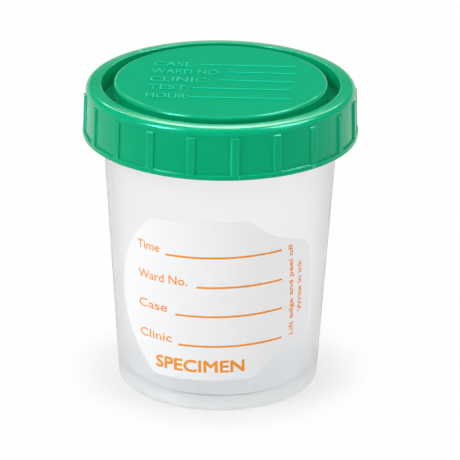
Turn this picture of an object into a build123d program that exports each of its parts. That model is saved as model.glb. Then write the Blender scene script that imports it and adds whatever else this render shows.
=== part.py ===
from build123d import *
import math
import os

# A specimen container: a tapered, translucent cup with a screw neck, a ribbed screw lid
# with a plug seal, and a die-cut label on the front. Sizes are in millimetres. The cup
# stands on Z = 0, its round forms turn about the Z axis, and the label faces -Y.

# Cup
CUP_HEIGHT = 73.4             # foot to the rim of the mouth
BASE_RADIUS = 24.1            # outside of the wall where its taper meets the ground
WALL_SLOPE = 0.061            # outward lean of the wall, in radius per height
CUP_WALL = 1.1
FOOT_WIDTH = 2.9              # width of the ring that the cup stands on
FOOT_RECESS = 2.2             # height of the hollow underneath, inside that ring
FLOOR_THICKNESS = 1.2
FLOOR_BREAK = 1.7             # sloping corner between the floor and the inside of the wall
FOOT_OUTER_BREAK = 0.7        # outer corner at the ground
FOOT_INNER_BREAK = 0.35
NECK_HEIGHT = 11.6            # top of the tapered wall to the rim
NECK_STEP = 2.1               # how far the neck stands out from the wall below it
SHOULDER_BREAK = 0.5          # corners of the shoulder under the neck
RIM_BREAK = 0.3

# Thread on the neck
THREAD_DEPTH = 0.7
THREAD_PITCH = 3.6
THREAD_TURNS = 1.4
THREAD_ROOT_WIDTH = 2.0
THREAD_CREST_WIDTH = 0.8
THREAD_DROP = 2.2             # rim to the start of the topmost turn
THREAD_RUNOUT = 14.0          # degrees over which each end of the thread sinks into the neck
THREAD_BITE = 0.3             # how far the thread's root reaches into the neck wall

# Lid
LID_WALL = 1.0
CROWN_THICKNESS = 1.3         # over the rim of the cup
CROWN_FALL = 0.35             # how much lower the crown is at its outer edge
CROWN_ROUND = 1.5             # outer corner between the crown and the skirt
SKIRT_DEPTH = 11.0            # rim of the cup to the lid's lower edge
SKIRT_FLARE = 0.4             # how much wider the skirt is at its lower edge, outside
SKIRT_INNER_FLARE = 0.4       # the same, inside
THREAD_CLEARANCE = 0.25       # thread crest to the inside of the skirt
SEAL_CLEARANCE = 0.1          # plug to the inside of the neck
PLUG_WALL = 0.8
PLUG_LEAD = 0.7               # chamfer that guides the plug into the neck
GROOVE_WIDTH = 2.65           # moat between the crown and the centre disc
GROOVE_DEPTH = 4.8
GROOVE_DRAFT = 0.3            # how much wider the moat's outer wall is at the top
GROOVE_FLOOR = 1.0
GROOVE_BREAK = 0.5            # corners at the bottom of the moat
CROWN_LIP_BREAK = 0.3         # edge where the crown turns down into the moat
DISC_RISE = 0.7               # how much higher the centre disc is than the crown
DISC_THICKNESS = 1.25
DISC_BREAK = 0.4              # edge of the centre disc
HUB_WALL = 1.0                # wall that carries the centre disc up from the moat
BAND_WIDTH = 1.2              # raised hoop round the lower edge of the skirt
BAND_RAISE = 0.45
EDGE_BREAK = 0.2              # chamfers on the lid's small edges

# Finger ribs on the skirt
RIB_COUNT = 20
RIB_WIDTH = 1.9
RIB_RAISE = 0.42
RIB_BREAK = 0.15
RIB_DROP = 2.1                # crown to the top of the ribs
RIB_BITE = 0.4                # how far a rib's root reaches into the skirt
LID_TURN = -3.0               # degrees that the screwed-down lid has turned past square

# Label, as it lies flat: across is along the wall, up is up the wall, from its centre
LABEL_HEIGHT_ON_CUP = 29.0    # ground to the label's centre
LABEL_THICKNESS = 0.1
GLUE_GAP = 0.02               # adhesive between the label and the wall
LABEL_TILT = 1.8              # degrees that the label was applied out of level
PANEL_HALF_HEIGHT = 20.6
PANEL_RIGHT = 7.8             # where the writing panel's top and bottom edges end
PANEL_LEFT = 16.6             # where they end on the other side
PANEL_BULGE = 10.6            # how far the curved end stands out past that
TAB_RIGHT = 25.0              # end of the peel tab
TAB_HALF_HEIGHT = 13.3
TAB_CORNER = 2.7
TAB_BULGE = 1.0               # how far the tab's end stands out in the middle
SHOULDER_DIP = 1.2            # how far the shoulders between panel and tab curve in


def wall_radius(height):
    """Outside radius of the tapered wall at a height."""
    return BASE_RADIUS + WALL_SLOPE * height


neck_start = CUP_HEIGHT - NECK_HEIGHT
neck_radius = wall_radius(neck_start) + NECK_STEP
neck_bore = neck_radius - CUP_WALL
crest_radius = neck_radius + THREAD_DEPTH
floor_height = FOOT_RECESS + FLOOR_THICKNESS

lid_top = CUP_HEIGHT + CROWN_THICKNESS
skirt_foot = CUP_HEIGHT - SKIRT_DEPTH
skirt_bore = crest_radius + THREAD_CLEARANCE
skirt_radius = skirt_bore + LID_WALL
plug_radius = neck_bore - SEAL_CLEARANCE
moat_radius = plug_radius - PLUG_WALL
moat_floor = lid_top - GROOVE_DEPTH
plug_foot = moat_floor - GROOVE_FLOOR
disc_radius = moat_radius - GROOVE_WIDTH
disc_top = lid_top + DISC_RISE
hub_bore = disc_radius - HUB_WALL


def toward(start, end, distance):
    """Point at a distance from start on the way to end, as (radius, height)."""
    share = distance / math.dist(start[:2], end[:2])
    return start[0] + share * (end[0] - start[0]), start[1] + share * (end[1] - start[1])


def turned(corners):
    """Solid of revolution about Z from (radius, height, size) corners of its half section.
    A positive size rounds the corner, a negative one chamfers it, and 0 leaves it sharp."""
    points, rounds = [], []
    for index, corner in enumerate(corners):
        if corner[2] < 0:
            following = corners[(index + 1) % len(corners)]
            points += [toward(corner, corners[index - 1], -corner[2]),
                       toward(corner, following, -corner[2])]
            rounds += [0, 0]
        else:
            points.append(corner[:2])
            rounds.append(corner[2])
    outline = FilletPolyline(*points, radius=rounds, close=True)
    return revolve(Plane.XZ * make_face(outline), Axis.Z)


def cup_shell():
    """Foot, floor, tapered wall, shoulder and neck, turned in one piece."""
    foot_bore = BASE_RADIUS - FOOT_WIDTH
    inner_slope_start = wall_radius(floor_height) - CUP_WALL
    return turned([
        (0, FOOT_RECESS, 0),
        (foot_bore, FOOT_RECESS, -FOOT_INNER_BREAK),
        (foot_bore, 0, -FOOT_INNER_BREAK),
        (BASE_RADIUS, 0, -FOOT_OUTER_BREAK),
        (wall_radius(neck_start), neck_start, -SHOULDER_BREAK),
        (neck_radius, neck_start + NECK_STEP, -SHOULDER_BREAK),
        (neck_radius, CUP_HEIGHT, -RIM_BREAK),
        (neck_bore, CUP_HEIGHT, -RIM_BREAK),
        (neck_bore, neck_start + NECK_STEP, -SHOULDER_BREAK),
        (wall_radius(neck_start) - CUP_WALL, neck_start, -SHOULDER_BREAK),
        (inner_slope_start, floor_height, -FLOOR_BREAK),
        (0, floor_height, 0),
    ])


def thread_section(angle, height, depth, root_width, crest_width):
    """Trapezoid across the thread, at an angle about Z and a height up the neck."""
    root = neck_radius - THREAD_BITE
    section = Plane.XZ * Polygon(
        (root, -root_width / 2),
        (neck_radius + depth, -crest_width / 2),
        (neck_radius + depth, crest_width / 2),
        (root, root_width / 2),
        align=None,
    )
    return Pos(0, 0, height) * Rot(0, 0, angle) * section


def thread_runout(angle, height, direction):
    """Wedge that sinks one end of the thread into the neck. direction is 1 or -1."""
    rise = THREAD_PITCH * THREAD_RUNOUT / 360
    full = thread_section(angle, height, THREAD_DEPTH, THREAD_ROOT_WIDTH, THREAD_CREST_WIDTH)
    sunk = thread_section(
        angle + direction * THREAD_RUNOUT,
        height + direction * rise,
        -THREAD_BITE / 2,
        THREAD_CREST_WIDTH,
        THREAD_CREST_WIDTH / 2,
    )
    return loft([full, sunk])


def neck_thread():
    """Single-start helical thread that the lid screws on to."""
    climb = THREAD_PITCH * THREAD_TURNS
    start = CUP_HEIGHT - THREAD_DROP - climb
    spine = Pos(0, 0, start) * Helix(pitch=THREAD_PITCH, height=climb, radius=neck_radius)
    first = thread_section(0, start, THREAD_DEPTH, THREAD_ROOT_WIDTH, THREAD_CREST_WIDTH)
    turns = sweep(first, path=spine, is_frenet=True)
    lower_end = thread_runout(0, start, -1)
    upper_end = thread_runout(360 * THREAD_TURNS, start + climb, 1)
    return turns + lower_end + upper_end


def cup():
    """Moulded cup."""
    return cup_shell() + neck_thread()


def lid_shell():
    """Crown, flared skirt, plug seal, moat and centre disc, turned in one piece."""
    crown_edge = lid_top - CROWN_FALL
    band_radius = skirt_radius + SKIRT_FLARE + BAND_RAISE
    band_top = skirt_foot + BAND_WIDTH
    panel_foot = skirt_radius + SKIRT_FLARE * (crown_edge - band_top) / (crown_edge - skirt_foot)
    return turned([
        (0, disc_top, 0),
        (disc_radius, disc_top, -DISC_BREAK),
        (disc_radius, moat_floor, -GROOVE_BREAK),
        (moat_radius, moat_floor, -GROOVE_BREAK),
        (moat_radius + GROOVE_DRAFT, lid_top, -CROWN_LIP_BREAK),
        (skirt_radius, crown_edge, CROWN_ROUND),
        (panel_foot, band_top, 0),
        (panel_foot + BAND_RAISE, band_top, -EDGE_BREAK),
        (band_radius, skirt_foot, -EDGE_BREAK),
        (skirt_bore + SKIRT_INNER_FLARE, skirt_foot, -EDGE_BREAK),
        (skirt_bore, CUP_HEIGHT, -EDGE_BREAK),
        (plug_radius, CUP_HEIGHT, 0),
        (plug_radius, plug_foot + PLUG_LEAD, 0),
        (plug_radius - PLUG_LEAD, plug_foot, 0),
        (hub_bore, plug_foot, -EDGE_BREAK),
        (hub_bore, disc_top - DISC_THICKNESS, -GROOVE_BREAK),
        (0, disc_top - DISC_THICKNESS, 0),
    ])


def skirt_at(height):
    """Outside radius of the plain skirt at a height, before ribs and band."""
    crown_edge = lid_top - CROWN_FALL
    return skirt_radius + SKIRT_FLARE * (crown_edge - height) / (crown_edge - skirt_foot)


def finger_rib():
    """One flat-topped rib at angle 0, from inside the band up to just under the crown."""
    foot = skirt_foot + BAND_WIDTH / 2
    top = lid_top - RIB_DROP
    side = Plane.XZ * Polygon(
        (skirt_at(foot) - RIB_BITE, foot),
        (skirt_at(foot) + RIB_RAISE, foot),
        (skirt_at(top) + RIB_RAISE, top),
        (skirt_at(top) - RIB_BITE, top),
        align=None,
    )
    rib = extrude(side, amount=RIB_WIDTH / 2, both=True)
    outer_edges = rib.faces().sort_by(Axis.X)[-1].edges().filter_by(
        lambda edge: edge.center().Z > foot + RIB_BREAK
    )
    return chamfer(outer_edges, RIB_BREAK)


def lid():
    """Moulded lid with its finger ribs."""
    pitch = 360 / RIB_COUNT
    rib = finger_rib()
    ribs = [Rot(0, 0, (index + 0.5) * pitch + LID_TURN - 90) * rib for index in range(RIB_COUNT)]
    return lid_shell() + ribs


def on_wall(across, up):
    """Front-view point (X, Z) of a point of the flat label once it is wrapped on the wall."""
    tilt = math.radians(LABEL_TILT)
    along = across * math.cos(tilt) - up * math.sin(tilt)
    height = LABEL_HEIGHT_ON_CUP + across * math.sin(tilt) + up * math.cos(tilt)
    radius = wall_radius(height)
    return radius * math.sin(along / radius), height


def label_outline():
    """Front view of the label: bulging writing end, two dipped shoulders and a peel tab."""
    top = PANEL_HALF_HEIGHT
    tab_top = TAB_HALF_HEIGHT
    tab_neck = TAB_RIGHT - TAB_BULGE - TAB_CORNER
    dip_across = (PANEL_RIGHT + tab_neck) / 2
    dip_up = (top + tab_top) / 2 - SHOULDER_DIP
    corner = TAB_CORNER * (1 - math.sqrt(0.5))
    left_end = [
        (-PANEL_LEFT, top),
        (-PANEL_LEFT - 0.75 * PANEL_BULGE, top / 2),
        (-PANEL_LEFT - PANEL_BULGE, 0),
        (-PANEL_LEFT - 0.75 * PANEL_BULGE, -top / 2),
        (-PANEL_LEFT, -top),
    ]
    lower_shoulder = [(PANEL_RIGHT, -top), (dip_across, -dip_up), (tab_neck, -tab_top)]
    tab_end = [
        (tab_neck, -tab_top),
        (tab_neck + TAB_CORNER - corner, corner - tab_top),
        (TAB_RIGHT, 0),
        (tab_neck + TAB_CORNER - corner, tab_top - corner),
        (tab_neck, tab_top),
    ]
    upper_shoulder = [(tab_neck, tab_top), (dip_across, dip_up), (PANEL_RIGHT, top)]
    wrapped = [[on_wall(*point) for point in run] for run in
               (left_end, lower_shoulder, tab_end, upper_shoulder)]
    edges = [Spline(*run) for run in wrapped]
    edges.append(Line(wrapped[0][-1], wrapped[1][0]))
    edges.append(Line(wrapped[3][-1], wrapped[0][0]))
    return Plane.XZ * make_face(edges)


def label():
    """Paper label: a thin sleeve of the wall's own taper, cut to the label's outline."""
    reach = 1.2 * PANEL_HALF_HEIGHT
    low = LABEL_HEIGHT_ON_CUP - reach
    high = LABEL_HEIGHT_ON_CUP + reach
    inner = GLUE_GAP
    outer = GLUE_GAP + LABEL_THICKNESS
    sleeve = turned([
        (wall_radius(low) + inner, low, 0),
        (wall_radius(low) + outer, low, 0),
        (wall_radius(high) + outer, high, 0),
        (wall_radius(high) + inner, high, 0),
    ])
    cutter = extrude(label_outline(), amount=2 * BASE_RADIUS)
    return sleeve & cutter


def main():
    os.makedirs("parts", exist_ok=True)
    export_step(cup(), "parts/cup.step")
    export_step(lid(), "parts/lid.step")
    export_step(label(), "parts/label.step")


main()
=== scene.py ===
import logging
import math
from collections.abc import Callable, Sequence
from dataclasses import dataclass, field
from enum import Enum

import bmesh
import bpy
import numpy as np
from mathutils import Matrix, Vector


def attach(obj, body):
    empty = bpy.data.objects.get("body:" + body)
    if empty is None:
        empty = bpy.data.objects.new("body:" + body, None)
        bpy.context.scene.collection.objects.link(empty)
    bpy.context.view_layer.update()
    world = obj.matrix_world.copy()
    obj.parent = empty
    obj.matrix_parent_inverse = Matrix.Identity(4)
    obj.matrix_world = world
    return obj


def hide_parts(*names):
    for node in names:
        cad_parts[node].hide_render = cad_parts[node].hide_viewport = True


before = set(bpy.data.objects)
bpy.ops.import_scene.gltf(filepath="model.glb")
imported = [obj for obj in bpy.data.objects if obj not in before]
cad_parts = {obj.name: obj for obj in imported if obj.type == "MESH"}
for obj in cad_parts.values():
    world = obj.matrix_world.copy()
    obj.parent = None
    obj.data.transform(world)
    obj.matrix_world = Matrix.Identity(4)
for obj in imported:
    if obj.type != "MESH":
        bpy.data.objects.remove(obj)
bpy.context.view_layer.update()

LOG = logging.getLogger("specimen_container")
MM = 0.001

# The container's sizes, in millimetres and degrees, are those of its solids.
CUP_HEIGHT = 73.4
BASE_RADIUS = 24.1
WALL_SLOPE = 0.061
CUP_WALL = 1.1
FOOT_WIDTH = 2.9
FOOT_RECESS = 2.2
FLOOR_THICKNESS = 1.2
NECK_HEIGHT = 11.6
NECK_STEP = 2.1
THREAD_DEPTH = 0.7
THREAD_PITCH = 3.6
THREAD_TURNS = 1.4
THREAD_ROOT_WIDTH = 2.0
THREAD_CREST_WIDTH = 0.8
THREAD_DROP = 2.2
THREAD_RUNOUT = 14.0
LID_WALL = 1.0
CROWN_THICKNESS = 1.3
CROWN_FALL = 0.35
CROWN_ROUND = 1.5
SKIRT_DEPTH = 11.0
SKIRT_FLARE = 0.4
SKIRT_INNER_FLARE = 0.4
THREAD_CLEARANCE = 0.25
SEAL_CLEARANCE = 0.1
PLUG_WALL = 0.8
PLUG_LEAD = 0.7
GROOVE_WIDTH = 2.65
GROOVE_DEPTH = 4.8
GROOVE_FLOOR = 1.0
GROOVE_DRAFT = 0.3
DISC_RISE = 0.7
DISC_THICKNESS = 1.25
HUB_WALL = 1.0
BAND_WIDTH = 1.2
BAND_RAISE = 0.45
RIB_COUNT = 20
RIB_WIDTH = 1.9
RIB_RAISE = 0.42
RIB_DROP = 2.1
LID_TURN = -3.0
LABEL_HEIGHT_ON_CUP = 29.0
LABEL_THICKNESS = 0.1
GLUE_GAP = 0.02
LABEL_TILT = 1.8
PANEL_HALF_HEIGHT = 20.6
PANEL_RIGHT = 7.8
PANEL_LEFT = 16.6
PANEL_BULGE = 10.6
TAB_RIGHT = 25.0
TAB_HALF_HEIGHT = 13.3
TAB_BULGE = 1.0
SHOULDER_DIP = 1.2

# These sizes are finer than the solids show.
CAPTION_RAISE = 0.22
TAB_CORNER = 3.8
PANEL_DROP = 0.07
RIB_SHOULDER = 0.22
RIB_FILLET = 0.12
RIB_FILLET_RAISE = 0.18
RIB_TOP_ROUND = 0.3
RIDGE_SOFTENING = 0.12
DOME_WIDTH = 1.4
DOME_FALL = 0.1
FLAT_ROW_STEP = 1.6

LID_TOP = CUP_HEIGHT + CROWN_THICKNESS
DISC_TOP = LID_TOP + DISC_RISE
DISC_FACE = DISC_TOP - CAPTION_RAISE
SKIRT_FOOT = CUP_HEIGHT - SKIRT_DEPTH
NECK_START = CUP_HEIGHT - NECK_HEIGHT
THREAD_START = CUP_HEIGHT - THREAD_DROP - THREAD_PITCH * THREAD_TURNS

# A rounded corner has a row every RIM_ARC_STEP degrees, or half as many rows up to
# SMALL_ROUNDING, and one more row HOLD past each end.
RIM_ARC_STEP = 9.0
SMALL_ROUNDING = 0.3
HOLD = 0.07

Point = tuple[float, float]
Relief = Callable[[float, float, np.ndarray], np.ndarray]
MeshData = tuple[np.ndarray, list[tuple[int, ...]]]


def wall_radius(height: float) -> float:
    """Gives the outside radius of the cup's tapered wall.

    Args:
        height: Height above the ground, in mm.

    Returns:
        The radius, in mm.
    """
    return BASE_RADIUS + WALL_SLOPE * height


NECK_RADIUS = wall_radius(NECK_START) + NECK_STEP
NECK_BORE = NECK_RADIUS - CUP_WALL
SKIRT_BORE = NECK_RADIUS + THREAD_DEPTH + THREAD_CLEARANCE
SKIRT_RADIUS = SKIRT_BORE + LID_WALL
PLUG_RADIUS = NECK_BORE - SEAL_CLEARANCE
MOAT_RADIUS = PLUG_RADIUS - PLUG_WALL
DISC_RADIUS = MOAT_RADIUS - GROOVE_WIDTH
MOAT_FLOOR = LID_TOP - GROOVE_DEPTH


def skirt_at(height: float) -> float:
    """Gives the outside radius of the lid's plain skirt, without ribs and band.

    Args:
        height: Height above the ground, in mm.

    Returns:
        The radius, in mm.
    """
    crown_edge = LID_TOP - CROWN_FALL
    return SKIRT_RADIUS + SKIRT_FLARE * (crown_edge - height) / (crown_edge - SKIRT_FOOT)


class Body(Enum):
    """Moving bodies of the container."""

    CUP = "cup"
    LID = "lid"


class Slot(Enum):
    """Material slots of the record."""

    CUP = "cup_plastic"
    LID = "lid_plastic"
    LABEL = "label_paper"


class Reading(Enum):
    """Ways that a line of print runs on the label, with its turn in degrees."""

    ACROSS = 0.0
    UP = 90.0


@dataclass(frozen=True)
class Corner:
    """Corner of a turned outline.

    Attributes:
        radius: Distance from the axis, in mm.
        height: Height above the ground, in mm.
        rounding: Radius of the rounded corner, in mm.
        step: Largest spacing of rows on the run that follows, in mm, or 0 for one run.
    """

    radius: float
    height: float
    rounding: float = 0.0
    step: float = 0.0


def rounded(corners: Sequence[Corner]) -> list[Point]:
    """Rounds an open outline's corners and adds the rows that a relief needs.

    Args:
        corners: Corners from one end of the outline to the other.

    Returns:
        Points of the outline as (radius, height), in mm.
    """
    rows: list[Point] = []
    for index, corner in enumerate(corners):
        rows.extend(corner_points(corners, index))
        if corner.step > 0:
            rows.extend(run_rows(rows[-1], corner_points(corners, index + 1)[0], corner.step))
    return rows


def corner_points(corners: Sequence[Corner], index: int) -> list[Point]:
    """Draws one corner of an outline, rounded or sharp.

    Args:
        corners: Corners of the outline.
        index: Number of the corner.

    Returns:
        Points of the corner as (radius, height), in mm.
    """
    corner = corners[index]
    here = Vector((corner.radius, corner.height))
    if corner.rounding <= 0 or index in (0, len(corners) - 1):
        return [(here.x, here.y)]
    before = (Vector((corners[index - 1].radius, corners[index - 1].height)) - here).normalized()
    after = (Vector((corners[index + 1].radius, corners[index + 1].height)) - here).normalized()
    return corner_arc(here, before, after, corner.rounding)


def corner_arc(here: Vector, before: Vector, after: Vector, rounding: float) -> list[Point]:
    """Draws one rounded corner with a close row beyond each end of its arc.

    Args:
        here: The sharp corner.
        before: Direction from the corner back along the outline.
        after: Direction from the corner on along the outline.
        rounding: Radius of the arc, in mm.

    Returns:
        Points of the corner as (radius, height), in mm.
    """
    opening = before.angle(after)
    reach = rounding / math.tan(opening / 2)
    centre = here + (before + after).normalized() * (rounding / math.sin(opening / 2))
    first = here + before * reach - centre
    last = here + after * reach - centre
    turn = math.atan2(first.x * last.y - first.y * last.x, first.dot(last))
    arc_step = RIM_ARC_STEP if rounding > SMALL_ROUNDING else 2 * RIM_ARC_STEP
    count = max(4, math.ceil(abs(math.degrees(turn)) / arc_step))
    hold = min(HOLD, rounding / 3)
    points = [here + before * (reach + hold)]
    for number in range(count + 1):
        points.append(centre + Matrix.Rotation(turn * number / count, 2) @ first)
    points.append(here + after * (reach + hold))
    return [(point.x, point.y) for point in points]


def run_rows(start: Point, end: Point, step: float) -> list[Point]:
    """Divides a straight run evenly.

    Args:
        start: First point of the run.
        end: Last point of the run.
        step: Largest spacing, in mm.

    Returns:
        The points between the run's ends.
    """
    count = math.ceil(math.dist(start, end) / step)
    return [
        (start[0] + (end[0] - start[0]) * n / count, start[1] + (end[1] - start[1]) * n / count)
        for n in range(1, count)
    ]


def turned_mesh(rows: Sequence[Point], angles: np.ndarray, relief: Relief) -> MeshData:
    """Turns an outline about Z, with a relief raised on it.

    Args:
        rows: Outline from axis to axis as (radius, height), in mm.
        angles: Angles of the columns, in radians.
        relief: Function of radius, height and the angles that gives the raise, in mm.

    Returns:
        Vertices in mm and faces.
    """
    columns = len(angles)
    rings = rows[1:-1]
    vertices = [(0.0, 0.0, rows[0][1])]
    for radius, height in rings:
        reach = radius + relief(radius, height, angles)
        vertices.extend(zip(reach * np.cos(angles), reach * np.sin(angles), np.full(columns, height)))
    vertices.append((0.0, 0.0, rows[-1][1]))
    faces: list[tuple[int, ...]] = []
    last = len(vertices) - 1
    for column in range(columns):
        following = (column + 1) % columns
        faces.append((0, 1 + following, 1 + column))
        for ring in range(len(rings) - 1):
            low = 1 + ring * columns
            high = low + columns
            faces.append((low + column, low + following, high + following, high + column))
        edge = 1 + (len(rings) - 1) * columns
        faces.append((last, edge + column, edge + following))
    return np.array(vertices, float), faces


def new_piece(name: str, vertices: np.ndarray, faces: Sequence[Sequence[int]]) -> bpy.types.Object:
    """Makes a smooth-shaded object with outward faces from millimetres.

    Args:
        name: Name of the piece.
        vertices: Points, in mm.
        faces: Faces as rows of vertex numbers.

    Returns:
        The new object, linked to the scene.
    """
    mesh = bpy.data.meshes.new(name)
    mesh.from_pydata([tuple(v) for v in np.asarray(vertices, float) * MM], [], [tuple(f) for f in faces])
    work = bmesh.new()
    work.from_mesh(mesh)
    bmesh.ops.recalc_face_normals(work, faces=work.faces)
    work.to_mesh(mesh)
    work.free()
    mesh.polygons.foreach_set("use_smooth", [True] * len(mesh.polygons))
    piece = bpy.data.objects.new(name, mesh)
    bpy.context.scene.collection.objects.link(piece)
    return piece


def sheet_piece(name: str, work: bmesh.types.BMesh, sharp: float) -> bpy.types.Object:
    """Makes an object from a bmesh in millimetres, with hard edges kept hard.

    Args:
        name: Name of the piece.
        work: The mesh, which is freed.
        sharp: Angle, in degrees, above which an edge stays hard.

    Returns:
        The new object, linked to the scene.
    """
    bmesh.ops.recalc_face_normals(work, faces=work.faces)
    for vertex in work.verts:
        vertex.co *= MM
    for edge in work.edges:
        edge.smooth = not (edge.is_manifold and edge.calc_face_angle(0.0) > math.radians(sharp))
    for face in work.faces:
        face.smooth = True
    mesh = bpy.data.meshes.new(name)
    work.to_mesh(mesh)
    work.free()
    piece = bpy.data.objects.new(name, mesh)
    bpy.context.scene.collection.objects.link(piece)
    return piece


def spline_through(points: Sequence[Point], per_span: int) -> list[Point]:
    """Draws the natural cubic spline through points.

    Args:
        points: The points that it passes.
        per_span: Number of steps between two points.

    Returns:
        Points along the spline, with both ends.
    """
    known = np.array(points, float)
    lengths = np.linalg.norm(np.diff(known, axis=0), axis=1)
    count = len(known)
    system = np.zeros((count, count))
    right = np.zeros((count, 2))
    system[0, 0] = system[-1, -1] = 1
    slopes = np.diff(known, axis=0) / lengths[:, None]
    for row in range(1, count - 1):
        system[row, row - 1 : row + 2] = (
            lengths[row - 1],
            2 * (lengths[row - 1] + lengths[row]),
            lengths[row],
        )
        right[row] = 6 * (slopes[row] - slopes[row - 1])
    bends = np.linalg.solve(system, right)
    drawn: list[Point] = []
    for span in range(count - 1):
        for step in range(per_span):
            b = step / per_span
            a = 1 - b
            share = lengths[span] ** 2 / 6
            point = (
                a * known[span]
                + b * known[span + 1]
                + ((a**3 - a) * bends[span] + (b**3 - b) * bends[span + 1]) * share
            )
            drawn.append((float(point[0]), float(point[1])))
    drawn.append(tuple(known[-1]))
    return drawn


# Highlights on the green plastic take up some of its colour.
HIGHLIGHT_TINT = (0.22, 1.0, 0.92)

# Range of Pointiness over which the painted highlight on outward edges fades in, from a flat face to a
# full edge.
PAINTED_EDGE_HIGHLIGHT_STARTS = 0.505
PAINTED_EDGE_HIGHLIGHT_IS_FULL = 0.56


@dataclass(frozen=True)
class MouldedPlastic:
    """Opaque moulded plastic with faint flow marks, and a painted highlight on its outward edges.

    Attributes:
        name: Name of the material.
        colour: Linear base colour.
        deep: Linear colour of the slightly darker flow marks.
        edge: Linear colour painted on the outward edges as a highlight, as if they caught the light.
        roughness: Mean roughness.
        specular: Specular level.
        grain: Height of the surface texture, in mm.
        grain_scale: Texture features per metre.
    """

    name: str
    colour: tuple[float, float, float]
    deep: tuple[float, float, float]
    edge: tuple[float, float, float]
    roughness: float
    specular: float
    grain: float
    grain_scale: float

    def material(self) -> bpy.types.Material:
        """Builds the node material.

        Returns:
            The material.
        """
        made, nodes, links, shader = new_material(self.name)
        shader.inputs["Roughness"].default_value = self.roughness
        shader.inputs["Specular IOR Level"].default_value = self.specular
        shader.inputs["Specular Tint"].default_value = (*HIGHLIGHT_TINT, 1.0)
        place = nodes.new("ShaderNodeTexCoord")
        flow = noise_node(nodes, 90.0, 3.0, 0.55)
        links.new(place.outputs["Object"], flow.inputs["Vector"])
        tint = mix_node(nodes, self.deep, self.colour)
        spread = ramp_node(nodes, 0.3, 0.62)
        links.new(flow.outputs["Fac"], spread.inputs["Fac"])
        links.new(spread.outputs["Color"], tint.inputs[0])
        # Painted highlight: outward edges, found by Pointiness, take the lighter edge colour as if they
        # caught the light.
        edges = nodes.new("ShaderNodeNewGeometry")
        outward = nodes.new("ShaderNodeMapRange")
        outward.inputs["From Min"].default_value = PAINTED_EDGE_HIGHLIGHT_STARTS
        outward.inputs["From Max"].default_value = PAINTED_EDGE_HIGHLIGHT_IS_FULL
        links.new(edges.outputs["Pointiness"], outward.inputs["Value"])
        lit = mix_node(nodes, self.colour, self.edge)
        links.new(outward.outputs["Result"], lit.inputs[0])
        links.new(tint.outputs[2], lit.inputs[6])
        links.new(lit.outputs[2], shader.inputs["Base Color"])
        skin = noise_node(nodes, self.grain_scale, 2.0, 0.5)
        links.new(place.outputs["Object"], skin.inputs["Vector"])
        polish = nodes.new("ShaderNodeMapRange")
        polish.inputs["To Min"].default_value = self.roughness - 0.05
        polish.inputs["To Max"].default_value = self.roughness + 0.05
        links.new(flow.outputs["Fac"], polish.inputs["Value"])
        links.new(polish.outputs["Result"], shader.inputs["Roughness"])
        bump_node(nodes, links, skin.outputs["Fac"], shader, self.grain)
        return made


@dataclass(frozen=True)
class FrostedPlastic:
    """Natural translucent plastic, softly frosted.

    Attributes:
        name: Name of the material.
        colour: Linear base colour.
        cloud: Linear colour of the milkier patches.
        roughness: Roughness of the surface and of what shows through.
        transmission: Share of light that passes through.
        ior: Index of refraction.
        floor_shade_tint: Linear colour of the thick floor.
        haze: Light that the plastic takes up, per metre.
        grain: Height of the surface texture, in mm.
    """

    name: str
    colour: tuple[float, float, float]
    cloud: tuple[float, float, float]
    floor_shade_tint: tuple[float, float, float]
    roughness: float
    transmission: float
    ior: float
    haze: float
    grain: float

    def material(self) -> bpy.types.Material:
        """Builds the node material.

        Returns:
            The material.
        """
        made, nodes, links, shader = new_material(self.name)
        shader.inputs["Transmission Weight"].default_value = self.transmission
        shader.inputs["Roughness"].default_value = self.roughness
        shader.inputs["IOR"].default_value = self.ior
        body = nodes.new("ShaderNodeVolumeAbsorption")
        body.inputs["Color"].default_value = (0.0, 0.0, 0.0, 1.0)
        body.inputs["Density"].default_value = self.haze
        links.new(body.outputs["Volume"], nodes["Material Output"].inputs["Volume"])
        place = nodes.new("ShaderNodeTexCoord")
        clouds = noise_node(nodes, 60.0, 3.0, 0.5)
        links.new(place.outputs["Object"], clouds.inputs["Vector"])
        tint = mix_node(nodes, self.colour, self.cloud)
        links.new(clouds.outputs["Fac"], tint.inputs[0])
        # Painted shade: the floor inside the foot ring is tinted bluish, standing in for the shaded
        # hollow under it.
        deep = mix_node(nodes, self.colour, self.floor_shade_tint)
        links.new(self.floor_share(nodes, links, place.outputs["Object"]), deep.inputs[0])
        links.new(tint.outputs[2], deep.inputs[6])
        links.new(deep.outputs[2], shader.inputs["Base Color"])
        skin = noise_node(nodes, 900.0, 2.0, 0.5)
        links.new(place.outputs["Object"], skin.inputs["Vector"])
        bump_node(nodes, links, skin.outputs["Fac"], shader, self.grain)
        return made

    def floor_share(
        self,
        nodes: bpy.types.Nodes,
        links: bpy.types.NodeLinks,
        place: bpy.types.NodeSocket,
    ) -> bpy.types.NodeSocket:
        """Gives 1 on the cup's floor, inside the foot ring, and 0 on its wall: the mask of the painted
        floor shade.

        Args:
            nodes: Nodes of the material.
            links: Links of the material.
            place: Socket that gives the point on the cup, in metres.

        Returns:
            The socket with the share.
        """
        flat = nodes.new("ShaderNodeVectorMath")
        flat.operation = "MULTIPLY"
        flat.inputs[1].default_value = (1.0, 1.0, 0.0)
        links.new(place, flat.inputs[0])
        away = nodes.new("ShaderNodeVectorMath")
        away.operation = "LENGTH"
        links.new(flat.outputs[0], away.inputs[0])
        share = nodes.new("ShaderNodeMapRange")
        rim = wall_radius(FOOT_RECESS + FLOOR_THICKNESS) - CUP_WALL
        share.inputs["From Min"].default_value = (rim - 0.2) * MM
        share.inputs["From Max"].default_value = (rim - 0.9) * MM
        links.new(away.outputs["Value"], share.inputs["Value"])
        return share.outputs["Result"]


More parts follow.
